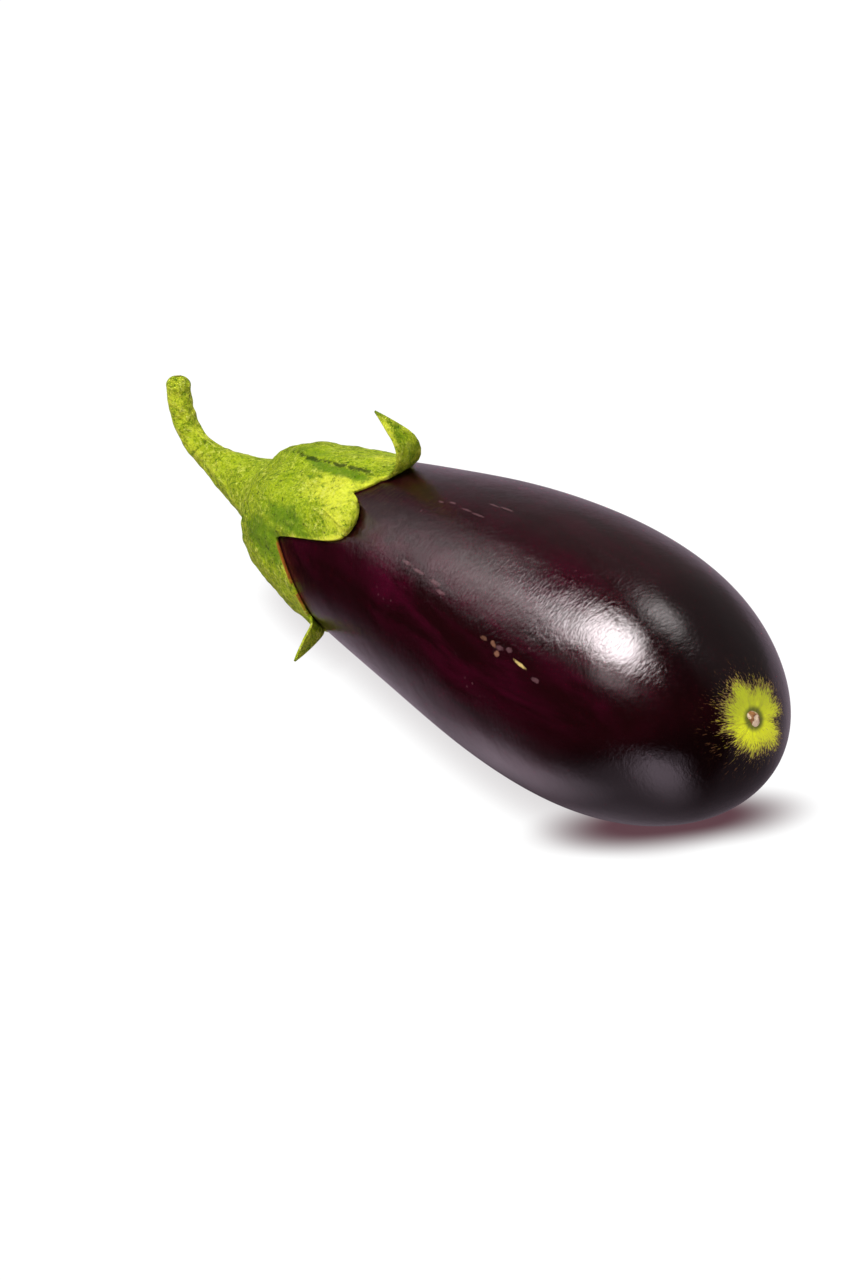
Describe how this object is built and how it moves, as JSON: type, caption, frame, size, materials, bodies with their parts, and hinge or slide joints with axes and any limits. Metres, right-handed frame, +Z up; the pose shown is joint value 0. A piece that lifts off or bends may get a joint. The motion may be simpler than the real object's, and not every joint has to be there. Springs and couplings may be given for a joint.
{
  "type": "eggplant",
  "caption": "Elongated egg-shaped dark purple vegetable with a green lobed calyx and a curved stalk, lying on its side.",
  "frame": {"origin": "middle of the small flat spot that the berry rests on", "axes": "+X along the berry to its blossom end, +Z up, +Y to the left of the blossom end's direction"},
  "size_m": [0.2626, 0.079, 0.0783],
  "materials": {
    "skin": "glossy dark purple skin with a yellow-green blossom end",
    "calyx": "matt yellow-green, finely bumpy and downy"
  },
  "bodies": {
    "root": {"fruit": "skin", "calyx": "calyx"}
  },
  "joints": []
}
